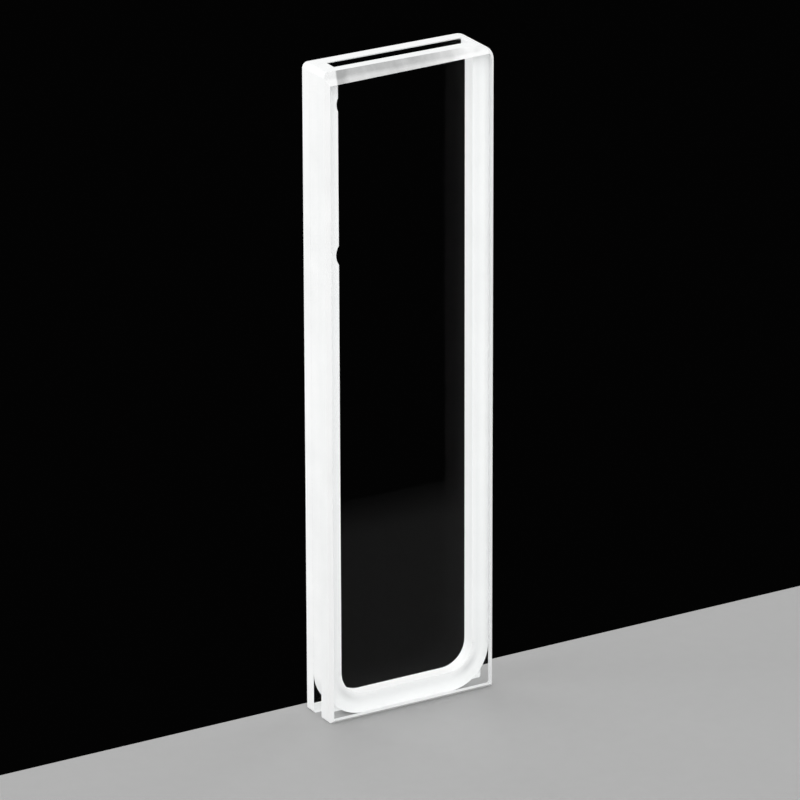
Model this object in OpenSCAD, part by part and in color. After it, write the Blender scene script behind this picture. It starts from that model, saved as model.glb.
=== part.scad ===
// Short-path optical cell, open at the top: two clear window plates fused to the faces of a
// U-shaped spacer frame. The gap between the plates is the light path.
// The origin is on the surface that the cell stands on, under its middle. X runs across the
// windows, the front window faces -Y, and Z runs up the cell. All lengths are in millimetres.

/* [Cell] */
// Width across the windows
cell_w = 12.5; // [9:0.1:40]
// Height from the base to the open top
cell_h = 45; // [20:0.5:100]
// Light path, which is the thickness of the spacer frame
path_t = 1; // [0.3:0.1:10]

/* [Windows] */
// Thickness of each window plate
window_t = 1.25; // [1:0.05:4]
// Ground bevel down both sides of the front window's outer face
front_bevel = 0.25; // [0.05:0.05:0.4]
// Ground bevel all round the back window's outer face
back_bevel = 0.35; // [0.05:0.05:0.4]
// Ground bevel along the front window's foot, small so that the foot stays wide
foot_bevel = 0.2; // [0.05:0.05:0.4]
// Rounding of both bottom corners of each window, seen from the front
bottom_round = 0.15; // [0.1:0.05:2]

/* [Pouring lip] */
// How far the lip is ground back from the front window's outer face at the top
lip_depth = 0.5; // [0.4:0.05:0.9]
// How far the lip is ground down that face, at the middle of its width
lip_drop = 0.68; // [0.4:0.05:3]
// Degrees by which the hand-ground lip runs off level, deeper on the left
lip_skew = 0.9; // [0:0.1:2]

/* [Top corners] */
// Rounding of the whole cell's top corner on the left
top_round_left = 0.4; // [0.1:0.05:1.2]
// Rounding of the whole cell's top corner on the right
top_round_right = 1.1; // [0.1:0.05:1.2]

/* [Spacer frame] */
// Width of each upright arm
arm_w = 1.25; // [1.25:0.05:3]
// Thickness of the bar across the bottom
bar_t = 1.35; // [0.8:0.05:4]
// Radius of the two inner bottom corners
inner_corner_r = 1.8; // [0.3:0.1:3]
// Radius of the two outer bottom corners, which leaves an open notch between the windows
outer_corner_r = 2.9; // [0.5:0.05:3.5]

/* [Chips] */
// How far below the open top the larger chip's middle is, on the left arm's inner front edge
big_chip_down = 12.6; // [3:0.1:13]
// Length of the larger chip along the edge
big_chip_l = 1.3; // [0.3:0.1:3]
// Depth of the larger chip into the arm
big_chip_d = 0.2; // [0.05:0.05:0.5]
// How far below the open top the smaller chip's middle is
small_chip_down = 2.4; // [1.5:0.1:13]
// Length of the smaller chip along the edge
small_chip_l = 0.9; // [0.3:0.1:3]
// Depth of the smaller chip into the arm
small_chip_d = 0.1; // [0.05:0.05:0.5]

/* [Hidden] */

// Facets of a full turn
round_fn = 96;
// How far a cutter reaches past the face that it cuts
over = 1;

half_w = cell_w / 2;
inner_half_w = half_w - arm_w;

// A block between two opposite corners
module block(low, high) {
    translate(low)
        cube(high - low);
}

// A plate's profile across its thickness: inner face on y = 0, outer face on y = -window_t, with
// its own bevel on the outer edge at each end. The other axis spans 0 to span.
module bevelled_profile(span, start_bevel, end_bevel) {
    polygon([
        [0, 0],
        [0, -window_t + start_bevel],
        [start_bevel, -window_t],
        [span - end_bevel, -window_t],
        [span, -window_t + end_bevel],
        [span, 0]
    ]);
}

// What a rounded corner takes off a square bevelled one. The corner's point is at the origin and
// the plate lies towards -X and -Z. The bevel is carried round the corner as a cone, which comes
// to its point early where the bevel is wider than the rounding.
module corner_waste(radius, bevel) {
    cone = min(radius, bevel);
    translate([-radius, 0, -radius])
        difference() {
            block([0, -window_t - over, 0], [radius + over, over, radius + over]);
            rotate([90, 0, 0])
                rotate_extrude($fn = round_fn)
                    polygon([
                        [0, -2 * over],
                        [radius, -2 * over],
                        [radius, window_t - bevel],
                        [radius - cone, window_t - bevel + cone],
                        [0, window_t - bevel + cone]
                    ]);
        }
}

// A window plate with its inner face on y = 0 and its outer face towards -Y
module window_plate(bevel, foot, round_left, round_right) {
    difference() {
        intersection() {
            translate([-half_w, 0, 0])
                linear_extrude(cell_h)
                    bevelled_profile(cell_w, bevel, bevel);
            translate([-half_w, 0, 0])
                rotate([90, 0, 90])
                    linear_extrude(cell_w)
                        mirror([1, -1])
                            bevelled_profile(cell_h, foot, bevel);
        }
        translate([half_w, 0, cell_h])
            corner_waste(round_right, bevel);
        translate([-half_w, 0, cell_h])
            mirror([1, 0, 0])
                corner_waste(round_left, bevel);
        for (side = [0, 1])
            mirror([side, 0, 0])
                translate([half_w, 0, 0])
                    mirror([0, 0, 1])
                        corner_waste(bottom_round, foot);
    }
}

// The wedge ground off the front window's top edge to make the lip. Its sloping face runs from
// lip_depth back on the top to lip_drop down the outer face.
module lip_waste() {
    slope = atan(lip_drop / lip_depth);
    reach = lip_drop + lip_depth + over;
    translate([0, -window_t + lip_depth, cell_h])
        rotate([0, -lip_skew, 0])
            rotate([slope, 0, 0])
                block([-cell_w, -reach, 0], [cell_w, 0, reach]);
}

module front_window() {
    color([0.86, 0.93, 0.95, 0.45])
        translate([0, -path_t / 2, 0])
            difference() {
                window_plate(front_bevel, foot_bevel, top_round_left, top_round_right);
                lip_waste();
            }
}

module back_window() {
    color([0.82, 0.90, 0.93, 0.45])
        translate([0, path_t / 2, 0])
            mirror([0, 1, 0])
                window_plate(back_bevel, back_bevel, top_round_left, top_round_right);
}

// Outline of a rectangle from the origin to [width, height] with its own radius at each corner,
// in the order bottom left, bottom right, top right, top left
module rounded_outline(width, height, radii) {
    difference() {
        square([width, height]);
        corner_trim([0, 0], [1, 1], radii[0]);
        corner_trim([width, 0], [-1, 1], radii[1]);
        corner_trim([width, height], [-1, -1], radii[2]);
        corner_trim([0, height], [1, -1], radii[3]);
    }
}

// What rounding takes off an outline's corner. inward gives the signs of the way into the outline.
module corner_trim(corner, inward, radius) {
    translate(corner)
        mirror([inward[0] < 0 ? 1 : 0, 0])
            mirror([0, inward[1] < 0 ? 1 : 0])
                difference() {
                    translate([-over, -over])
                        square(radius + over);
                    translate([radius, radius])
                        circle(r = radius, $fn = round_fn);
                }
}

// The well inside the U: straight sides, rounded bottom corners, open past the top
module well_outline() {
    translate([-inner_half_w, bar_t])
        difference() {
            square([2 * inner_half_w, cell_h]);
            corner_trim([0, 0], [1, 1], inner_corner_r);
            corner_trim([2 * inner_half_w, 0], [-1, 1], inner_corner_r);
        }
}

// A shell-shaped chip out of the left arm's inner front edge: a ball that reaches depth into the
// arm and breaks its edge over the given length
module chip(down, length, depth) {
    ball_r = (length * length / 4 + depth * depth) / (2 * depth);
    translate([-inner_half_w - depth + ball_r, -path_t / 2, cell_h - down])
        sphere(r = ball_r, $fn = round_fn);
}

module spacer_frame() {
    color([0.93, 0.95, 0.95])
        difference() {
            translate([0, path_t / 2, 0])
                rotate([90, 0, 0])
                    linear_extrude(path_t)
                        difference() {
                            translate([-half_w, 0])
                                rounded_outline(cell_w, cell_h,
                                    [outer_corner_r, outer_corner_r, top_round_right, top_round_left]);
                            well_outline();
                        }
            chip(big_chip_down, big_chip_l, big_chip_d);
            chip(small_chip_down, small_chip_l, small_chip_d);
        }
}

front_window();
back_window();
spacer_frame();
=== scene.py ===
"""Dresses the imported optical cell: two polished window plates fused to a ground glass spacer frame.

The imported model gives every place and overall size. This script makes the plates and the frame
again as finely stepped surfaces, parts their polished faces from their ground ones, and sets the
floor, the lamps and the camera round them. Lengths are in metres, and MM turns millimetres to them.
"""

import logging
import math
from dataclasses import dataclass, field
from enum import Enum

import bmesh
import bpy
import numpy as np
from mathutils import Matrix, Vector


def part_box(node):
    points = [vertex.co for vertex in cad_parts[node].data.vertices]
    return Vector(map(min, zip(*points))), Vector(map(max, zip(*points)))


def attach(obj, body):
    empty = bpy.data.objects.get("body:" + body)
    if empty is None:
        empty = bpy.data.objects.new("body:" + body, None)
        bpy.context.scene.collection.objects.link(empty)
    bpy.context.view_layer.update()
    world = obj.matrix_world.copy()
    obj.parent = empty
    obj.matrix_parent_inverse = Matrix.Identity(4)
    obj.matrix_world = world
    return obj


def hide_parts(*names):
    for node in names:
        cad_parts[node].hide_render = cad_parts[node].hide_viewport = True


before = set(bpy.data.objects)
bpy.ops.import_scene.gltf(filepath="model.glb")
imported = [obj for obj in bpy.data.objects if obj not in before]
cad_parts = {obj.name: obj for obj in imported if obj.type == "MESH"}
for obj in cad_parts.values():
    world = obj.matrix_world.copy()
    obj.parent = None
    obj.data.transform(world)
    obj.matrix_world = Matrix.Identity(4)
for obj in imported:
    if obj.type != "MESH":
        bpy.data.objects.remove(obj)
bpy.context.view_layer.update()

LOGGER = logging.getLogger("cell")
BODY = "root"

MM = 0.001
PER_MM = 1 / MM  # turns a pattern's repeats in a millimetre to repeats in a metre
GLASS_IOR = 1.46
SAME_PLACE = 0.0005 * MM  # corners nearer than this are one corner
SHARP_FOLD = math.radians(20.0)  # faces that fold by more than this meet in a sharp edge
SQUARE_ON = 0.999  # a face whose normal's cosine to a direction is above this looks along it


class Slot(str, Enum):
    """The record's material slots."""

    WINDOW = "window_glass"
    FROSTED = "frosted_glass"


class Facing(Enum):
    """Which way a plate's outer face looks along Y."""

    FRONT = -1
    BACK = 1


class Side(Enum):
    """On which side of the cell an arm or corner is, along X."""

    LEFT = -1
    RIGHT = 1


# ---- node helpers


@dataclass
class NodeSheet:
    """Adds and links nodes in one node tree.

    Args:
        tree: the node tree that the nodes go into.
    """

    tree: bpy.types.NodeTree

    def add(self, kind: str, settings: dict | None = None, **inputs: object) -> bpy.types.Node:
        """Adds a node, sets its properties and fills or links its inputs.

        Args:
            kind: the node's Blender type name, such as "ShaderNodeTexNoise".
            settings: node properties by name, such as {"noise_dimensions": "3D"}.
            inputs: sockets by name with underscores for spaces. A socket is linked, and a
                number or colour is written on the node.

        Returns:
            The new node.
        """
        node = self.tree.nodes.new(kind)
        for name, value in (settings or {}).items():
            setattr(node, name, value)
        for name, value in inputs.items():
            self.feed(node.inputs[name.replace("_", " ")], value)
        return node

    def feed(self, socket: bpy.types.NodeSocket, value: object) -> None:
        """Links an output to a socket, or writes a plain value on it.

        Args:
            socket: the input to fill.
            value: an output socket, a number or a sequence of numbers.
        """
        if isinstance(value, bpy.types.NodeSocket):
            self.tree.links.new(value, socket)
        elif isinstance(value, (tuple, list)) and socket.type == "RGBA" and len(value) == 3:
            socket.default_value = (*value, 1.0)
        else:
            socket.default_value = value

    def math(
        self, operation: str, a: object, b: object = 0.0, clamp: bool = False
    ) -> bpy.types.NodeSocket:
        """Adds a Math node on two values.

        Args:
            operation: the Math operation's name.
            a: the first value or socket.
            b: the second value or socket.
            clamp: whether the result is kept between 0 and 1.

        Returns:
            The result's socket.
        """
        node = self.tree.nodes.new("ShaderNodeMath")
        node.operation = operation
        node.use_clamp = clamp
        self.feed(node.inputs[0], a)
        self.feed(node.inputs[1], b)
        return node.outputs[0]

    def remap(
        self, value: object, low: float, high: float, to_low: float, to_high: float
    ) -> bpy.types.NodeSocket:
        """Maps a value from one range to another and keeps it inside the new one.

        Args:
            value: the socket to map.
            low: the value that becomes to_low.
            high: the value that becomes to_high.
            to_low: the result at low.
            to_high: the result at high.

        Returns:
            The result's socket.
        """
        node = self.tree.nodes.new("ShaderNodeMapRange")
        for index, number in enumerate((value, low, high, to_low, to_high)):
            self.feed(node.inputs[index], number)
        return node.outputs[0]

    def mix_colour(self, share: object, first: object, second: object) -> bpy.types.NodeSocket:
        """Mixes two colours.

        Args:
            share: how much of the second colour shows, from 0 to 1.
            first: the colour at 0.
            second: the colour at 1.

        Returns:
            The mixed colour's socket.
        """
        node = self.tree.nodes.new("ShaderNodeMix")
        node.data_type = "RGBA"
        # Inputs 6 and 7 and output 2 are this node's colour sockets.
        self.feed(node.inputs["Factor"], share)
        self.feed(node.inputs[6], first)
        self.feed(node.inputs[7], second)
        return node.outputs[2]


def new_group(
    name: str, inputs: dict[str, float], outputs: tuple[str, ...]
) -> tuple[bpy.types.NodeTree, NodeSheet]:
    """Makes an empty shader node group with number sockets.

    Args:
        name: the group's name.
        inputs: the group's inputs with their defaults.
        outputs: the group's outputs.

    Returns:
        The group's tree and a sheet that adds nodes to it.
    """
    tree = bpy.data.node_groups.new(name, "ShaderNodeTree")
    for title, default in inputs.items():
        socket = tree.interface.new_socket(name=title, in_out="INPUT", socket_type="NodeSocketFloat")
        socket.default_value = default
    for title in outputs:
        tree.interface.new_socket(name=title, in_out="OUTPUT", socket_type="NodeSocketFloat")
    return tree, NodeSheet(tree)


def grinding_group() -> bpy.types.NodeTree:
    """Builds the group that every ground face uses.

    Three patterns on the piece's own coordinates are added up: pits of the loose grit, which are
    fine noise, lines left by the wheel, which are noise drawn out along Z, and slow clouds where the
    wheel pressed harder.

    Returns:
        A group with Pit Size and Line Strength inputs and Tone and Height outputs, both about 0 to 1.
    """
    lines_across, lines_along, clouds_each_way = 9 * PER_MM, 0.26 * PER_MM, 0.42 * PER_MM
    grain_share, cloud_share = 0.45, 0.5
    darkest, palest = 0.3, 0.75
    tree, sheet = new_group("Grinding", {"Pit Size": 0.04 * MM, "Line Strength": 0.4}, ("Tone", "Height"))
    given = sheet.add("NodeGroupInput")
    place = sheet.add("ShaderNodeTexCoord").outputs["Object"]
    pit_scale = sheet.math("DIVIDE", 1.0, given.outputs["Pit Size"])
    pits = sheet.add("ShaderNodeTexNoise", Vector=place, Scale=pit_scale, Detail=3.0, Roughness=0.6)
    drawn_out = sheet.add("ShaderNodeMapping", Vector=place, Scale=(lines_across, lines_across, lines_along))
    lines = sheet.add("ShaderNodeTexNoise", Vector=drawn_out.outputs[0], Scale=1.0, Detail=2.0)
    clouds = sheet.add("ShaderNodeTexNoise", Vector=place, Scale=clouds_each_way, Detail=2.0)
    line_part = sheet.math("MULTIPLY", lines.outputs[0], given.outputs["Line Strength"])
    height = sheet.math("ADD", pits.outputs[0], line_part)
    grain_part = sheet.math("MULTIPLY", height, grain_share)
    tone = sheet.math("ADD", grain_part, sheet.math("MULTIPLY", clouds.outputs[0], cloud_share))
    result = sheet.add("NodeGroupOutput")
    sheet.feed(result.inputs["Tone"], sheet.remap(tone, darkest, palest, 0.0, 1.0))
    sheet.feed(result.inputs["Height"], height)
    return tree


def handling_group() -> bpy.types.NodeTree:
    """Builds the group that marks where a polished face was handled and where dust lies.

    Smears are wide noise cut off below a level, and specks are the middles of small, sparse
    Voronoi cells.

    Returns:
        A group with Smear and Dust inputs, which set how much there is, and outputs of those names.
    """
    smears_each_way, cells_each_way = 0.17 * PER_MM, 0.9 * PER_MM
    smear_starts, smear_full = 0.5, 0.75
    speck_core, speck_rim, bare_cells = 0.03, 0.06, 0.8
    tree, sheet = new_group("Handling", {"Smear": 0.5, "Dust": 0.5}, ("Smear", "Dust"))
    given = sheet.add("NodeGroupInput")
    place = sheet.add("ShaderNodeTexCoord").outputs["Object"]
    wide = sheet.add("ShaderNodeTexNoise", Vector=place, Scale=smears_each_way, Detail=4.0,
                     Roughness=0.55, Distortion=0.6)
    smear = sheet.remap(wide.outputs[0], smear_starts, smear_full, 0.0, 1.0)
    cells = sheet.add("ShaderNodeTexVoronoi", Vector=place, Scale=cells_each_way)
    near = sheet.remap(cells.outputs["Distance"], speck_core, speck_rim, 1.0, 0.0)
    cell_tone = sheet.add("ShaderNodeSeparateColor", Color=cells.outputs["Color"]).outputs[0]
    specks = sheet.math("MULTIPLY", near, sheet.math("GREATER_THAN", cell_tone, bare_cells))
    result = sheet.add("NodeGroupOutput")
    sheet.feed(result.inputs["Smear"], sheet.math("MULTIPLY", smear, given.outputs["Smear"], clamp=True))
    sheet.feed(result.inputs["Dust"], sheet.math("MULTIPLY", specks, given.outputs["Dust"], clamp=True))
    return tree


# ---- finishes


@dataclass(frozen=True)
class PolishedGlass:
    """Optically polished clear glass that lets the lamps through to what lies behind it.

    Args:
        name: the material's name.
        tint: the colour that light takes on at each face.
        smear: how strong the smears of handling are, from 0 to 1.
        dust: how strong the dust specks are, from 0 to 1.
        smear_rough: the roughness of the strongest smear.
        dust_rough: the roughness of the strongest speck.
    """

    name: str
    tint: tuple[float, float, float] = (0.996, 0.998, 0.998)
    smear: float = 0.25
    dust: float = 0.3
    smear_rough: float = 0.06
    dust_rough: float = 0.5

    def build(self, handling: bpy.types.NodeTree) -> bpy.types.Material:
        """Makes the material.

        Args:
            handling: the group that marks smears and dust.

        Returns:
            The material.
        """
        material, sheet, output = blank_material(self.name)
        marks = sheet.add("ShaderNodeGroup", {"node_tree": handling}, Smear=self.smear, Dust=self.dust)
        rough = sheet.math("ADD", sheet.math("MULTIPLY", marks.outputs["Smear"], self.smear_rough),
                           sheet.math("MULTIPLY", marks.outputs["Dust"], self.dust_rough))
        glass = sheet.add("ShaderNodeBsdfPrincipled", Roughness=rough, IOR=GLASS_IOR, Transmission_Weight=1.0,
                          Base_Color=self.tint, Specular_Tint=(0.0, 0.0, 0.0))
        clear = sheet.add("ShaderNodeBsdfTransparent", Color=self.tint)
        path = sheet.add("ShaderNodeLightPath")
        lamp_ray = sheet.math("MAXIMUM", path.outputs["Is Shadow Ray"], path.outputs["Is Diffuse Ray"])
        mixed = sheet.add("ShaderNodeMixShader")
        sheet.feed(mixed.inputs[0], lamp_ray)
        sheet.feed(mixed.inputs[1], glass.outputs[0])
        sheet.feed(mixed.inputs[2], clear.outputs[0])
        sheet.feed(output.inputs["Surface"], mixed.outputs[0])
        return material


@dataclass(frozen=True)
class GroundGlass:
    """Glass ground with loose grit, which scatters light so much that it looks white.

    Args:
        name: the material's name.
        light: the colour of the palest grain.
        shade: the colour of the darkest grain.
        rough: the roughness of the darkest and the palest grain.
        pit_size: the grit's pit size.
        line_strength: how strong the wheel's lines are, from 0 to 1.
        relief: the depth of the grain.
        clearness: how much of the light goes through, from 0 to 1.
    """

    name: str
    light: tuple[float, float, float]
    shade: tuple[float, float, float]
    rough: tuple[float, float] = (0.55, 0.85)
    pit_size: float = 0.04 * MM
    line_strength: float = 0.4
    relief: float = 0.006 * MM
    clearness: float = 0.0

    def tone(self, sheet: NodeSheet, grain: bpy.types.NodeSocket) -> bpy.types.NodeSocket:
        """Gives how pale the surface is at each place, from 0 to 1: here just the grain's own tone."""
        return grain

    def build(self, grinding: bpy.types.NodeTree) -> bpy.types.Material:
        """Makes the material.

        Args:
            grinding: the group that gives the grain.

        Returns:
            The material.
        """
        material, sheet, output = blank_material(self.name)
        grain = sheet.add("ShaderNodeGroup", {"node_tree": grinding},
                          Pit_Size=self.pit_size, Line_Strength=self.line_strength)
        tone = self.tone(sheet, grain.outputs["Tone"])
        bump = sheet.add("ShaderNodeBump", Strength=0.6, Distance=self.relief, Height=grain.outputs["Height"])
        body = sheet.add(
            "ShaderNodeBsdfPrincipled", Base_Color=sheet.mix_colour(tone, self.shade, self.light),
            Roughness=sheet.remap(tone, 0.0, 1.0, *self.rough), Normal=bump.outputs[0],
            IOR=GLASS_IOR, Specular_IOR_Level=0.1, Transmission_Weight=self.clearness,
        )
        sheet.feed(output.inputs["Surface"], body.outputs[0])
        return material


@dataclass(frozen=True)
class Fade:
    """A share of a surface's tone that changes evenly between two places.

    Args:
        start: the place where the change starts.
        end: the place where it ends.
        before: the share up to the start.
        after: the share past the end.
    """

    start: float
    end: float
    before: float
    after: float

    def over(self, sheet: NodeSheet, place: bpy.types.NodeSocket) -> bpy.types.NodeSocket:
        """Gives the share at a place measured by a socket."""
        return sheet.remap(place, self.start, self.end, self.before, self.after)


@dataclass(frozen=True)
class LipGlass(GroundGlass):
    """The hand-ground pouring lip: coarse and grey near the top, and finer and paler lower down.

    Over the well its grey is partly painted shade of the dark well seen through it. It has a dark
    patch near its left end and pales towards the right, and at both ends painted light stands for
    the white arm behind showing through.

    Args:
        base: the tone to which every share is added.
        grain: the share of the grain, over the grain's own tone.
        cloud: the share of cloudy blotches, over their noise.
        cloud_size: the size of a blotch.
        fine_grind: the share of the finer grind, over the height.
        slant: how far the line of sight through the lip moves left for each metre nearer the front.
        dark_end: the share of the dark patch at the left end, over slanted places.
        left_arm_painted_light: painted light for the white left arm behind, over slanted places.
        paler_rightward: how much the lip pales towards the right, over places across the lip.
        right_arm_painted_light: painted light for the white right arm behind, over places across the lip.
    """

    base: float = 0.22
    grain: Fade = Fade(0.0, 1.0, -0.12, 0.12)
    cloud: Fade = Fade(0.25, 0.75, -0.14, 0.14)
    cloud_size: float = 0.7 * MM
    fine_grind: Fade = Fade(44.48 * MM, 44.68 * MM, 0.34, 0.0)
    slant: float = 0.37
    dark_end: Fade = Fade(-4.25 * MM, -3.85 * MM, -0.26, 0.0)
    left_arm_painted_light: Fade = Fade(-4.88 * MM, -4.76 * MM, 0.85, 0.0)
    paler_rightward: Fade = Fade(0.6 * MM, 4.1 * MM, 0.0, 0.42)
    right_arm_painted_light: Fade = Fade(3.1 * MM, 3.9 * MM, 0.0, 0.22)

    def tone(self, sheet: NodeSheet, grain: bpy.types.NodeSocket) -> bpy.types.NodeSocket:
        """Gives how pale the lip is: the base and every share added up, kept between 0 and 1.

        A slanted place is x less the slant times y: the place behind along the line of sight, where the
        dark patch and the left arm's painted light sit.

        Args:
            sheet: the material's sheet.
            grain: the grain's own tone.

        Returns:
            The tone's socket.
        """
        place = sheet.add("ShaderNodeTexCoord").outputs["Object"]
        x, y, z = sheet.add("ShaderNodeSeparateXYZ", Vector=place).outputs
        slanted = sheet.math("SUBTRACT", x, sheet.math("MULTIPLY", y, self.slant))
        cloud = sheet.add("ShaderNodeTexNoise", Vector=place, Scale=1 / self.cloud_size, Detail=2.0)
        total = self.grain.over(sheet, grain)
        for fade, across in (
            (self.cloud, cloud.outputs[0]),
            (self.fine_grind, z),
            # The dark patch and the left arm's painted light follow the line of sight; the right arm's
            # painted light follows x.
            (self.dark_end, slanted),
            (self.left_arm_painted_light, slanted),
            (self.paler_rightward, x),
            (self.right_arm_painted_light, x),
        ):
            total = sheet.math("ADD", total, fade.over(sheet, across))
        return sheet.math("ADD", total, self.base, clamp=True)


@dataclass(frozen=True)
class Well:
    """The well's outline seen from the front, open at the top and with round bottom corners.

    Args:
        half: half the well's width.
        floor: the height of its floor.
        corner: the radius of its bottom corners.
    """

    half: float
    floor: float
    corner: float


@dataclass(frozen=True)
class FusedGlass(GroundGlass):
    """Finely ground glass with the faint grey line of the fused seam, which follows the well; painted
    shade deepens the line round the corners.

    Args:
        well: the well's outline.
        seam: how far outside the well the line starts, is darkest and ends.
        seam_and_shade_at_corners: the tone that the line and its painted shade take away at the corners.
        at_sides: how much it takes away along the straight sides.
        straight_from: how straight a place is where the line starts to fade, from 0 to 1.
        grain_floor: the tone of the darkest grain, where the palest is 1.
    """

    well: Well = field(kw_only=True)
    seam: tuple[float, float, float] = (0.05 * MM, 0.38 * MM, 0.8 * MM)
    seam_and_shade_at_corners: float = 0.7
    at_sides: float = 0.175
    straight_from: float = 0.8
    grain_floor: float = 0.8

    def tone(self, sheet: NodeSheet, grain: bpy.types.NodeSocket) -> bpy.types.NodeSocket:
        """Gives how pale the glass is: a fifth of the grain, less the seam's line and its painted corner
        shade.

        The distance outside the well is that from a rectangle with round corners: with the two legs
        measured from a corner's centre, it is the root of their squares' sum less the radius. How
        straight a place is, is the longer leg over that root: 1 beside the sides and less round a
        corner.

        Args:
            sheet: the material's sheet.
            grain: the grain's own tone.

        Returns:
            The tone's socket.
        """
        place = sheet.add("ShaderNodeTexCoord").outputs["Object"]
        x, _, z = sheet.add("ShaderNodeSeparateXYZ", Vector=place).outputs
        aside = sheet.math("SUBTRACT", sheet.math("ABSOLUTE", x), self.well.half - self.well.corner)
        below = sheet.math("SUBTRACT", self.well.floor + self.well.corner, z)
        longer = sheet.math("MAXIMUM", aside, below)
        legs = [sheet.math("MAXIMUM", leg, 0.0) for leg in (aside, below)]
        squares = [sheet.math("MULTIPLY", leg, leg) for leg in legs]
        reach = sheet.math("SQRT", sheet.math("ADD", *squares))
        inward = sheet.math("MINIMUM", longer, 0.0)
        outside = sheet.math("SUBTRACT", sheet.math("ADD", reach, inward), self.well.corner)
        start, darkest, end = self.seam
        line = sheet.math("MULTIPLY", sheet.remap(outside, start, darkest, 0.0, 1.0),
                          sheet.remap(outside, darkest, end, 1.0, 0.0))
        straight = sheet.math("DIVIDE", longer, sheet.math("MAXIMUM", reach, SAME_PLACE))
        # Round the corners painted shade makes the line stronger.
        strength = sheet.remap(straight, self.straight_from, 1.0, self.seam_and_shade_at_corners, self.at_sides)
        pale = sheet.remap(grain, 0.0, 1.0, self.grain_floor, 1.0)
        return sheet.math("SUBTRACT", pale, sheet.math("MULTIPLY", line, strength), clamp=True)


@dataclass(frozen=True)
class MattSurface:
    """The plain painted surface that the cell stands on.

    Args:
        name: the material's name.
        colour: its colour.
        rough: its roughness.
        mottle: the share of the colour that is left in its darkest spots.
    """

    name: str
    colour: tuple[float, float, float]
    rough: float = 0.8
    mottle: float = 0.96

    def build(self) -> bpy.types.Material:
        """Makes the material, with faint mottling.

        Returns:
            The material.
        """
        material, sheet, output = blank_material(self.name)
        place = sheet.add("ShaderNodeTexCoord").outputs["Object"]
        spots = sheet.add("ShaderNodeTexNoise", Vector=place, Scale=0.9 * PER_MM, Detail=3.0)
        darker = tuple(self.mottle * channel for channel in self.colour)
        body = sheet.add("ShaderNodeBsdfPrincipled", Roughness=self.rough,
                         Base_Color=sheet.mix_colour(spots.outputs[0], darker, self.colour))
        sheet.feed(output.inputs["Surface"], body.outputs[0])
        return material


def blank_material(name: str) -> tuple[bpy.types.Material, NodeSheet, bpy.types.Node]:
    """Makes a material with nothing but its output node.

    Args:
        name: the material's name.

    Returns:
        The material, a sheet that adds nodes to it, and its output node.
    """
    material = bpy.data.materials.new(name)
    material.use_nodes = True
    material.node_tree.nodes.clear()
    sheet = NodeSheet(material.node_tree)
    return material, sheet, sheet.add("ShaderNodeOutputMaterial")


@dataclass
class Finishes:
    """Every material of the cell, made once.

    Args:
        well: the outline of the well, which the fused seam follows.
    """

    well: Well
    polished: bpy.types.Material = field(init=False)
    ground: bpy.types.Material = field(init=False)
    ground_cool: bpy.types.Material = field(init=False)
    chamfer: bpy.types.Material = field(init=False)
    lip: bpy.types.Material = field(init=False)
    fine: bpy.types.Material = field(init=False)

    def __post_init__(self) -> None:
        """Builds the shared groups and the materials from them."""
        grinding = grinding_group()
        self.polished = PolishedGlass("polished_glass").build(handling_group())
        self.ground = GroundGlass(
            "ground_edge", light=(0.95, 0.955, 0.955), shade=(0.86, 0.87, 0.87),
        ).build(grinding)
        self.ground_cool = GroundGlass(
            "ground_edge_cool", light=(0.93, 0.94, 0.94), shade=(0.85, 0.86, 0.86),
        ).build(grinding)
        # The front plate's bevels are darker than its ground edges: painted shade, so that the lamps they
        # face don't make them brighter than the sides.
        self.chamfer = GroundGlass(
            "ground_chamfer_painted_shade", light=(0.87, 0.875, 0.875), shade=(0.79, 0.795, 0.795), pit_size=0.03 * MM,
        ).build(grinding)
        # The lip's grey is partly painted shade of the dark well seen through it, and its tone paints in the
        # light of the arms behind.
        self.lip = LipGlass(
            "ground_lip", light=(0.97, 0.975, 0.975), shade=(0.42, 0.425, 0.425), rough=(0.4, 0.6),
            pit_size=0.06 * MM, line_strength=0.2, clearness=0.12,
        ).build(grinding)
        # Paler than the other ground faces: painted light on the well's walls and on the faces that meet the
        # plates, inside the cell.
        self.fine = FusedGlass(
            "fine_ground_painted_light", light=(0.98, 0.985, 0.985), shade=(0.7, 0.705, 0.705), line_strength=0.2,
            well=self.well,
        ).build(grinding)


# ---- meshes


def new_piece(
    name: str, points: np.ndarray, faces: list[list[int]], slots: list[bpy.types.Material]
) -> bpy.types.Object:
    """Makes a closed object from its corners and faces, with doubled corners merged.

    Args:
        name: the object's name.
        points: corners as an array of x, y, z rows.
        faces: corner numbers of each face, running anticlockwise seen from outside.
        slots: the object's materials in slot order.

    Returns:
        The object, linked to the scene, at the origin.
    """
    mesh = bpy.data.meshes.new(name)
    mesh.from_pydata(points, [], faces)
    work = bmesh.new()
    work.from_mesh(mesh)
    bmesh.ops.remove_doubles(work, verts=work.verts, dist=SAME_PLACE)
    bmesh.ops.dissolve_degenerate(work, edges=work.edges, dist=0.4 * SAME_PLACE)
    bmesh.ops.recalc_face_normals(work, faces=work.faces)
    work.to_mesh(mesh)
    work.free()
    for material in slots:
        mesh.materials.append(material)
    mesh.polygons.foreach_set("use_smooth", np.ones(len(mesh.polygons), dtype=bool))
    mesh.set_sharp_from_angle(angle=SHARP_FOLD)
    piece = bpy.data.objects.new(name, mesh)
    bpy.context.scene.collection.objects.link(piece)
    return piece


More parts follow.
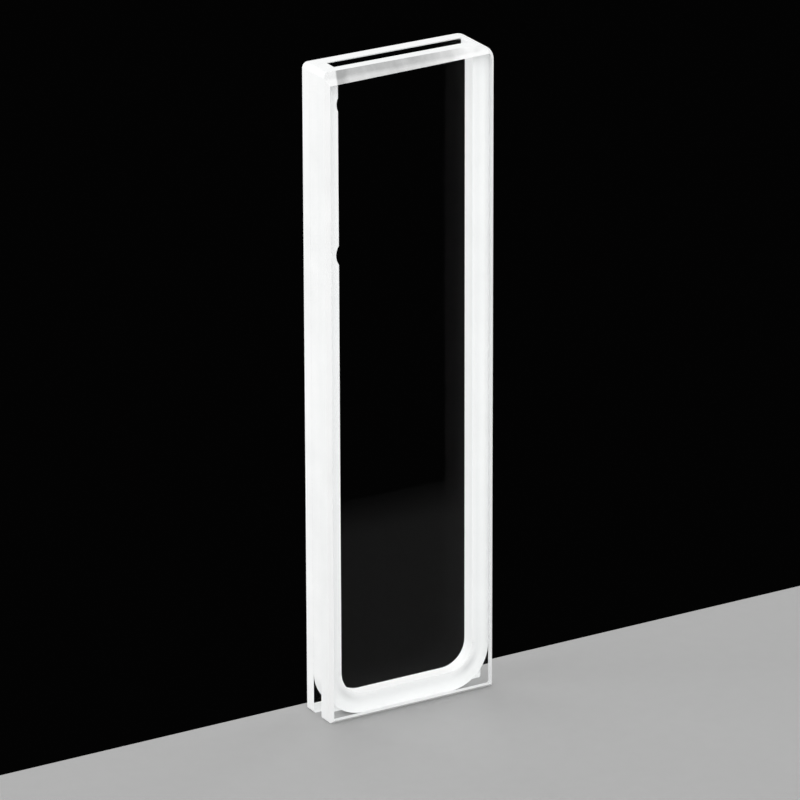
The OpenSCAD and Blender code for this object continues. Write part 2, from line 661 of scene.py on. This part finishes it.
def strip_faces(rows: int, columns: int) -> np.ndarray:
    """Gives the quads of a grid whose columns close on themselves.

    Args:
        rows: how many rings of points there are.
        columns: how many points a ring has.

    Returns:
        Corner numbers, four a quad, from ring k at point j round to ring k + 1 at point j.
    """
    ring = np.arange(rows - 1)[:, None] * columns
    here = np.arange(columns)[None, :]
    after = (here + 1) % columns
    quads = np.stack([ring + here, ring + after, ring + columns + after, ring + columns + here], axis=-1)
    return quads.reshape(-1, 4)


def face_vectors(mesh: bpy.types.Mesh, kind: str) -> np.ndarray:
    """Reads a vector of every face.

    Args:
        mesh: the mesh.
        kind: which vector, "normal" or "center".

    Returns:
        One row of x, y, z for each face.
    """
    flat = np.empty(3 * len(mesh.polygons))
    mesh.polygons.foreach_get(kind, flat)
    return flat.reshape(-1, 3)


def arc(centre: tuple[float, float], radius: float, start: float, end: float, steps: int) -> np.ndarray:
    """Gives an arc's points: the centre plus the radius times the cosine and sine of an angle.

    Args:
        centre: the arc's centre, as x, z.
        radius: its radius.
        start: the angle of its first point in degrees, from x towards z.
        end: the angle of its last point.
        steps: how many points it has.

    Returns:
        x, z rows.
    """
    turn = np.radians(np.linspace(start, end, steps))
    return np.array(centre) + radius * np.stack([np.cos(turn), np.sin(turn)], axis=-1)


@dataclass(frozen=True)
class CornerRounds:
    """The radii of the cell's corners seen from the front. Those at the top run through all pieces.

    Args:
        foot: the radius of both bottom corners of a plate.
        left: the radius of the top corner on the left.
        right: the radius of the top corner on the right.
    """

    foot: float
    left: float
    right: float


@dataclass(frozen=True)
class PlateOutline:
    """A plate seen from the front: a rectangle standing on z = 0 with rounded corners.

    Args:
        half_width: half the plate's width.
        height: the plate's height.
        rounds: the radii of its corners.
        arc_steps: points on each corner's arc.
    """

    half_width: float
    height: float
    rounds: CornerRounds
    arc_steps: int = 25

    def ring(self, side_inset: float, foot_inset: float, top_inset: float) -> np.ndarray:
        """Gives the outline drawn in by its own distance at the sides, foot and top.

        Each corner is a quarter circle of its radius less the inset. Points past a side's own inset
        are pressed back to it.

        Args:
            side_inset: how far the two sides are drawn in.
            foot_inset: how far the foot is drawn in.
            top_inset: how far the top is drawn in.

        Returns:
            x, z rows, anticlockwise seen from the front, starting at the bottom right corner.
        """
        foot, left, right = self.rounds.foot, self.rounds.left, self.rounds.right
        corners = (
            (Side.RIGHT, foot, foot, foot_inset, -90.0),
            (Side.RIGHT, self.height - right, right, top_inset, 0.0),
            (Side.LEFT, self.height - left, left, top_inset, 90.0),
            (Side.LEFT, foot, foot, foot_inset, 180.0),
        )
        arcs = []
        for side, z, radius, inset, start in corners:
            centre = (side.value * (self.half_width - radius), z)
            arcs.append(arc(centre, radius - inset, start, start + 90.0, self.arc_steps))
        outline = np.concatenate(arcs)
        reach = self.half_width - side_inset
        outline[:, 0] = np.clip(outline[:, 0], -reach, reach)
        outline[:, 1] = np.clip(outline[:, 1], foot_inset, self.height - top_inset)
        return outline


@dataclass(frozen=True)
class LipPlane:
    """The sloping plane that the pouring lip is ground to.

    Args:
        top: height of the cell's open top.
        start_y: where the plane leaves the top at the middle of the width.
        fall: how much the plane falls for each metre towards the outer face.
        skew: how much it falls for each metre towards the left.
    """

    top: float
    start_y: float
    fall: float
    skew: float

    def height(self, x: np.ndarray, y: np.ndarray) -> np.ndarray:
        """Gives the plane's height: top + fall * (y - start_y) + skew * x."""
        return self.top + self.fall * (y - self.start_y) + self.skew * x

    def reach(self, x: np.ndarray, z: np.ndarray) -> np.ndarray:
        """Gives the y at which the plane is at height z: start_y + (z - top - skew * x) / fall."""
        return self.start_y + (z - self.top - self.skew * x) / self.fall

    def normal(self) -> np.ndarray:
        """Gives the unit vector that the lip faces along."""
        upward = np.array([-self.skew, -self.fall, 1.0])
        return upward / np.linalg.norm(upward)


@dataclass
class WindowPlate:
    """A polished window plate with ground edges, bevels and, on the front one, a lip.

    Args:
        name: the new piece's name.
        node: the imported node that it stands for.
        facing: which way its outer face looks.
        finishes: the cell's materials.
        rounds: the radii of its corners.
        edge: the material of its ground edges.
        chamfer: the material of its bevels.
        bevel: width of the bevel down the sides and along the top.
        foot_bevel: width of the bevel along the foot.
        lip: the lip's plane, or None.
    """

    name: str
    node: str
    facing: Facing
    finishes: Finishes
    rounds: CornerRounds
    edge: bpy.types.Material
    chamfer: bpy.types.Material
    bevel: float
    foot_bevel: float
    lip: LipPlane | None = None

    def build(self) -> bpy.types.Object:
        """Makes the plate, puts it on the body and hides the imported part that it stands for.

        Returns:
            The finished piece.
        """
        points, faces = self.surface()
        used = (self.finishes.polished, self.edge, self.chamfer, self.finishes.lip if self.lip else None)
        slots = list(dict.fromkeys(material for material in used if material))
        piece = new_piece(self.name, points, faces, slots)
        self.dress(piece.data, slots)
        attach(piece, BODY)
        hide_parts(self.node)
        return piece

    def surface(self) -> tuple[np.ndarray, list[list[int]]]:
        """Works out the plate as rings of its outline, one behind the other.

        The rings stand at the inner face, where the lip starts, where the bevel starts, where the
        foot's bevel starts, and at the outer face, where the outline is drawn in by the bevels. Above
        the lip's plane every ring is pressed down to it, so the rows between two lie on that plane.

        Returns:
            The points and the faces.
        """
        low, high = (np.array(corner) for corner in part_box(self.node))
        outline = PlateOutline(high[0], high[2], self.rounds)
        inner_y, outer_y = (high[1], low[1]) if self.facing is Facing.FRONT else (low[1], high[1])
        bevel_y = outer_y - self.facing.value * self.bevel
        foot_y = outer_y - self.facing.value * self.foot_bevel
        full = outline.ring(0.0, 0.0, 0.0)
        foot_start = outline.ring(self.bevel - self.foot_bevel, 0.0, self.bevel - self.foot_bevel)
        outer = outline.ring(self.bevel, self.foot_bevel, self.bevel)
        levels = [(full, inner_y), (full, bevel_y), (foot_start, foot_y), (outer, outer_y)]
        rings = [np.stack([ring[:, 0], np.full(len(ring), y), ring[:, 1]], axis=-1) for ring, y in levels]
        if self.lip:
            rings = self.cut_lip(rings)
        points = np.concatenate(rings)
        count = len(full)
        faces = strip_faces(len(rings), count).tolist()
        faces.append(list(range(count - 1, -1, -1)))
        faces.append(list(range((len(rings) - 1) * count, len(rings) * count)))
        return points, faces

    def cut_lip(self, rings: list[np.ndarray]) -> list[np.ndarray]:
        """Presses the rings down to the lip's plane and adds the ring where it starts.

        Args:
            rings: the plain plate's rings, the inner face first.

        Returns:
            The rings with the lip ground in.
        """
        inner, bevel_start = rings[0], rings[1]
        start = inner.copy()
        crossing = self.lip.reach(start[:, 0], start[:, 2])
        start[:, 1] = np.clip(crossing, bevel_start[:, 1], inner[:, 1])
        for ring in rings[1:]:
            ring[:, 2] = np.minimum(ring[:, 2], self.lip.height(ring[:, 0], ring[:, 1]))
        return [inner, start, *rings[1:]]

    def dress(self, mesh: bpy.types.Mesh, slots: list[bpy.types.Material]) -> None:
        """Gives each face its finish: polished, the bevels', the lip's or, for the rest, the edges'.

        A bevel's face looks partly outwards and partly to its side.

        Args:
            mesh: the plate's mesh.
            slots: its materials in slot order.
        """
        least, most = 0.3, 0.9
        normals = face_vectors(mesh, "normal")
        outward = normals[:, 1] * self.facing.value
        chosen = np.full(len(normals), slots.index(self.edge))
        chosen[np.abs(outward) > SQUARE_ON] = slots.index(self.finishes.polished)
        chosen[(outward > least) & (outward < most)] = slots.index(self.chamfer)
        if self.lip:
            chosen[normals @ self.lip.normal() > SQUARE_ON] = slots.index(self.finishes.lip)
        mesh.polygons.foreach_set("material_index", chosen.astype(np.int32))
        mesh.update()


@dataclass(frozen=True)
class Chip:
    """A shell-shaped chip, cut by a ball, out of the left arm's inner front edge.

    Args:
        down: how far below the open top its middle is.
        length: its length along the edge.
        depth: its depth into the arm.
    """

    down: float
    length: float
    depth: float

    def ball(self, edge_x: float, edge_y: float, top: float) -> tuple[np.ndarray, float]:
        """Gives the ball that cuts the chip: radius = (length^2 / 4 + depth^2) / (2 * depth).

        Args:
            edge_x: x of the arm's inner edge.
            edge_y: y of the frame's front face.
            top: height of the open top.

        Returns:
            The ball's centre and radius.
        """
        radius = (self.length ** 2 / 4 + self.depth ** 2) / (2 * self.depth)
        return np.array([edge_x - self.depth + radius, edge_y, top - self.down]), radius


@dataclass
class SpacerFrame:
    """The U-shaped ground glass spacer between the plates.

    Args:
        finishes: the cell's materials.
        well: the outline of the well, which leaves the arms and the bar.
        rounds: the radii of the top corners.
        name: the new piece's name.
        node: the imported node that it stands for.
        outer_round: radius of the frame's own bottom corners.
        joint_gap: hair's breadth kept to each plate, so that the two faces don't coincide.
        chips: the chips in the left arm's inner front edge.
        arc_steps: points on each corner's arc.
        arm_steps: points down each arm, not counting those across a chip.
        chip_steps: points across a chip.
        cap_steps: points along an arm's flat top.
        wall_steps: points through the frame's thickness.
    """

    finishes: Finishes
    well: Well
    rounds: CornerRounds
    name: str = "ground_spacer"
    node: str = "spacer_frame"
    outer_round: float = 2.9 * MM
    joint_gap: float = 0.004 * MM
    chips: tuple[Chip, ...] = (
        Chip(down=12.6 * MM, length=1.3 * MM, depth=0.2 * MM),
        Chip(down=2.4 * MM, length=0.9 * MM, depth=0.1 * MM),
    )
    arc_steps: int = 41
    arm_steps: int = 24
    chip_steps: int = 45
    cap_steps: int = 12
    wall_steps: int = 21

    def build(self) -> bpy.types.Object:
        """Makes the frame, puts it on the body and hides the imported part that it stands for.

        The well's walls and the two faces that meet the plates are finely ground, and their paler tone is
        painted light.

        Returns:
            The finished piece.
        """
        points, faces = self.surface()
        piece = new_piece(self.name, points, faces, [self.finishes.fine, self.finishes.ground])
        normals, middles = (face_vectors(piece.data, kind) for kind in ("normal", "center"))
        above_foot = middles[:, 2] > self.well.floor / 2
        in_well = (np.abs(middles[:, 0]) < self.well.half + self.joint_gap) & above_foot
        fine = in_well | (np.abs(normals[:, 1]) > SQUARE_ON)
        piece.data.polygons.foreach_set("material_index", np.where(fine, 0, 1).astype(np.int32))
        piece.data.update()
        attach(piece, BODY)
        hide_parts(self.node)
        return piece

    def arm_heights(self, top: float, low: float, chips: tuple[Chip, ...]) -> np.ndarray:
        """Gives an arm's heights from top to low: even steps, and closer ones across each chip.

        Args:
            top: where the heights start.
            low: where they end.
            chips: the chips in this arm.

        Returns:
            Falling heights.
        """
        past_chip = 0.1
        spans = [np.linspace(low, top, self.arm_steps)]
        for chip in chips:
            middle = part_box(self.node)[1][2] - chip.down
            reach = (0.5 + past_chip) * chip.length
            spans.append(np.linspace(middle - reach, middle + reach, self.chip_steps))
        heights = np.unique(np.concatenate(spans))
        return heights[(heights >= low) & (heights <= top)][::-1]

    def half_paths(self, side: Side) -> tuple[np.ndarray, np.ndarray]:
        """Works out one side of the well's wall and of the outer wall, down to the bar.

        Straight runs are even steps and corners are quarter circles. The outer path starts at the
        well's corner, so that it takes in the flat top of the arm and its rounding.

        Args:
            side: the arm's side.

        Returns:
            The inner and the outer path as x, z rows, with as many points.
        """
        clear_of_bend = 0.2 * MM
        if side is Side.LEFT:
            round_top, chips, outward, downward = self.rounds.left, self.chips, 180.0, 270.0
        else:
            round_top, chips, outward, downward = self.rounds.right, (), 0.0, -90.0
        half, _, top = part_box(self.node)[1]
        well_x, corner_x = side.value * self.well.half, side.value * (half - round_top)
        arm_top = top - round_top
        outer_cap = np.concatenate([
            np.linspace((well_x, top), (corner_x, top), self.cap_steps),
            arc((corner_x, arm_top), round_top, 90.0, outward, self.arc_steps),
        ])
        inner_cap = np.linspace((well_x, top), (well_x, arm_top), len(outer_cap))
        heights = self.arm_heights(arm_top, self.outer_round + clear_of_bend, chips)
        stretches = []
        for cap, reach, floor, radius in (
            (inner_cap, self.well.half, self.well.floor, self.well.corner),
            (outer_cap, half, 0.0, self.outer_round),
        ):
            arm = np.column_stack([np.full(len(heights), side.value * reach), heights])
            centre = (side.value * (reach - radius), floor + radius)
            bend = arc(centre, radius, outward, downward, self.arc_steps)
            stretches.append(np.concatenate([cap, arm, bend]))
        return stretches[0], stretches[1]

    def paths(self) -> tuple[np.ndarray, np.ndarray]:
        """Works out the well's wall and the outer wall as two paths with as many points.

        Both run from the left arm's top down, along the bar and up the right arm.

        Returns:
            The inner and the outer path as x, z rows.
        """
        inner_left, outer_left = self.half_paths(Side.LEFT)
        inner_right, outer_right = self.half_paths(Side.RIGHT)
        inner = np.concatenate([inner_left, inner_right[::-1]])
        outer = np.concatenate([outer_left, outer_right[::-1]])
        return inner, outer

    def surface(self) -> tuple[np.ndarray, list[list[int]]]:
        """Works out the frame as a rectangle carried along the U.

        A point of the section is the inner path's point plus a share of the way to the outer
        path's, at its own depth in y. Points inside a chip's ball are moved straight out from the
        ball's centre until they lie on it.

        Returns:
            The points and the faces.
        """
        low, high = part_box(self.node)
        front, back = low[1] + self.joint_gap, high[1] - self.joint_gap
        inner, outer = self.paths()
        # Across a face the points stand closer near the well, where the chips are.
        by_chips, beyond = np.linspace(0.0, 0.3, 9), np.linspace(0.45, 1.0, 5)
        face = np.concatenate([by_chips, beyond])
        wall = np.linspace(front, back, self.wall_steps)
        at_face, at_wall = np.ones(len(face) - 1), np.ones(len(wall) - 1)
        share = np.concatenate([face[:-1], at_wall, face[:0:-1], 0.0 * at_wall])
        depth = np.concatenate([front * at_face, wall[:-1], back * at_face, wall[:0:-1]])
        across = outer[:, None, :] - inner[:, None, :]
        flat = inner[:, None, :] + share[None, :, None] * across
        grid = np.stack([flat[..., 0], np.broadcast_to(depth, flat.shape[:2]), flat[..., 1]], axis=-1)
        points = grid.reshape(-1, 3)
        for chip in self.chips:
            centre, radius = chip.ball(-self.well.half, front, high[2])
            away = points - centre
            distance = np.linalg.norm(away, axis=1, keepdims=True)
            points = np.where(distance < radius, centre + away * radius / distance, points)
        faces = strip_faces(len(inner), len(share)).tolist()
        return points, faces


# ---- studio


@dataclass(frozen=True)
class SoftLamp:
    """A square soft lamp aimed at the middle of the cell.

    Args:
        name: the lamp's name.
        azimuth: where it stands round the cell, 0 in front and 90 on the right, in degrees.
        elevation: how high it stands above the horizon, in degrees.
        distance: its distance from the cell.
        side: the length of its side.
        power: its power in watts.
    """

    name: str
    azimuth: float
    elevation: float
    distance: float
    side: float
    power: float

    def build(self, target: Vector) -> None:
        """Makes the lamp.

        Args:
            target: the point that it is aimed at.
        """
        data = bpy.data.lights.new(self.name, "AREA")
        data.shape, data.size, data.energy = "SQUARE", self.side, self.power
        lamp = bpy.data.objects.new(self.name, data)
        towards = direction(self.azimuth, self.elevation)
        lamp.location = target + towards * self.distance
        lamp.rotation_euler = towards.to_track_quat("Z", "Y").to_euler()
        bpy.context.scene.collection.objects.link(lamp)


def direction(azimuth: float, elevation: float) -> Vector:
    """Gives the unit vector from the cell towards a place round it.

    Args:
        azimuth: 0 in front, 90 on the right, in degrees.
        elevation: above the horizon, in degrees.

    Returns:
        The unit vector.
    """
    turn, rise = math.radians(azimuth), math.radians(elevation)
    return Vector((math.sin(turn) * math.cos(rise), -math.cos(turn) * math.cos(rise), math.sin(rise)))


@dataclass
class Studio:
    """The floor, the dark surroundings, the lamps and the camera.

    Args:
        azimuth: where the camera stands round the cell, in degrees.
        elevation: how high it stands, in degrees.
        roll: its turn about its own line of sight, in degrees.
        distance: its distance from what it looks at.
        target: what it looks at.
        lens: its focal length in millimetres on the sensor.
        sensor: the sensor's width in millimetres.
        floor_depth: how far the floor reaches behind and in front of the cell's middle.
        floor_half_width: how far it reaches to each side.
        floor_thickness: its thickness.
        floor_gap: hair's breadth between the floor and the cell's foot.
        floor_grey: how pale it is, from 0 to 1.
        fill_grey: how pale the surroundings are to matt surfaces.
        seen_grey: how pale they are to the eye, directly or in glass.
        lamps: the lamps round the cell.
    """

    azimuth: float = -30.26
    elevation: float = 21.30
    roll: float = -0.15
    distance: float = 446.4 * MM
    target: tuple[float, float, float] = (0.143 * MM, 0.087 * MM, 21.05 * MM)
    lens: float = 307.6
    sensor: float = 36.0
    floor_depth: tuple[float, float] = (2.2 * MM, 30.0 * MM)
    floor_half_width: float = 60.0 * MM
    floor_thickness: float = 8.0 * MM
    floor_gap: float = 0.002 * MM
    floor_grey: float = 0.41
    fill_grey: float = 0.66
    seen_grey: float = 0.001
    lamps: tuple[SoftLamp, ...] = (
        SoftLamp("key", azimuth=-98.0, elevation=18.0, distance=0.6, side=0.45, power=1.38),
        SoftLamp("front", azimuth=-8.0, elevation=24.0, distance=0.7, side=0.5, power=2.0),
        SoftLamp("right", azimuth=100.0, elevation=20.0, distance=0.7, side=0.5, power=1.15),
        SoftLamp("back", azimuth=180.0, elevation=28.0, distance=0.7, side=0.5, power=1.2),
    )

    def build(self) -> None:
        """Makes the camera, the floor, the lamps and the world."""
        self.place_camera()
        self.lay_floor()
        for lamp in self.lamps:
            lamp.build(Vector(self.target))
        self.light_world()
        bpy.context.scene.view_settings.view_transform = "Standard"

    def place_camera(self) -> None:
        """Makes the camera: target plus distance along its direction, then turned by the roll."""
        data = bpy.data.cameras.new("camera")
        data.lens, data.sensor_width = self.lens, self.sensor
        data.clip_start, data.clip_end = 0.01, 10.0
        camera = bpy.data.objects.new("camera", data)
        back = direction(self.azimuth, self.elevation)
        ahead = -back
        right = ahead.cross(Vector((0, 0, 1))).normalized()
        up = right.cross(ahead)
        turn = math.radians(self.roll)
        right_turned = math.cos(turn) * right + math.sin(turn) * up
        up_turned = math.cos(turn) * up - math.sin(turn) * right
        axes = Matrix((right_turned, up_turned, back)).transposed()
        camera.matrix_world = Matrix.Translation(Vector(self.target) + back * self.distance) @ axes.to_4x4()
        bpy.context.scene.collection.objects.link(camera)
        bpy.context.scene.camera = camera

    def lay_floor(self) -> None:
        """Makes the floor as a slab in line with the cell, its back edge not far behind it."""
        behind, front = self.floor_depth
        half = self.floor_half_width
        plan = np.array([(-half, -front), (-half, behind), (half, behind), (half, -front)])
        top = np.column_stack([plan, np.full(4, -self.floor_gap)])
        bottom = top - np.array([0.0, 0.0, self.floor_thickness])
        faces = [[0, 3, 2, 1], [4, 5, 6, 7], *strip_faces(2, 4).tolist()]
        surface = MattSurface("pale_floor", (self.floor_grey,) * 3).build()
        floor = new_piece("floor", np.concatenate([top, bottom]), faces, [surface])

    def light_world(self) -> None:
        """Makes the world: plain soft light to matt surfaces, and near black to the eye and in glass."""
        world = bpy.data.worlds.new("surroundings")
        bpy.context.scene.world = world
        world.use_nodes = True
        world.node_tree.nodes.clear()
        sheet = NodeSheet(world.node_tree)
        path = sheet.add("ShaderNodeLightPath")
        seen = sheet.math("MAXIMUM", path.outputs["Is Camera Ray"], path.outputs["Is Glossy Ray"])
        seen = sheet.math("MAXIMUM", seen, path.outputs["Is Transmission Ray"])
        colour = sheet.mix_colour(seen, (self.fill_grey,) * 3, (self.seen_grey,) * 3)
        shown = sheet.add("ShaderNodeBackground", Color=colour, Strength=1.0)
        output = sheet.add("ShaderNodeOutputWorld")
        sheet.feed(output.inputs["Surface"], shown.outputs[0])


def main() -> None:
    """Builds the cell's pieces and the studio in order, and reports each piece."""
    logging.basicConfig(level=logging.INFO, format="%(name)s: %(message)s")
    rounds = CornerRounds(foot=0.15 * MM, left=0.4 * MM, right=1.1 * MM)
    arm, bar, well_corner = 1.25 * MM, 1.35 * MM, 1.8 * MM
    front_bevel, foot_bevel, back_bevel = 0.25 * MM, 0.2 * MM, 0.35 * MM
    lip_back, lip_down, lip_off_level = 0.5 * MM, 0.68 * MM, math.radians(0.9)
    low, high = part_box("front_window")
    skew = math.tan(lip_off_level)
    lip = LipPlane(top=high[2], start_y=low[1] + lip_back, fall=lip_down / lip_back, skew=skew)
    well = Well(half=high[0] - arm, floor=bar, corner=well_corner)
    finishes = Finishes(well)
    parts = [
        WindowPlate("front_plate", "front_window", Facing.FRONT, finishes, rounds, edge=finishes.ground_cool,
                    chamfer=finishes.chamfer, bevel=front_bevel, foot_bevel=foot_bevel, lip=lip),
        WindowPlate("back_plate", "back_window", Facing.BACK, finishes, rounds, edge=finishes.ground,
                    chamfer=finishes.ground, bevel=back_bevel, foot_bevel=back_bevel),
        SpacerFrame(finishes, well, rounds),
    ]
    for part in parts:
        piece = part.build()
        LOGGER.info("%s: %d faces", piece.name, len(piece.data.polygons))
    Studio().build()


if __name__ == "__main__":
    main()
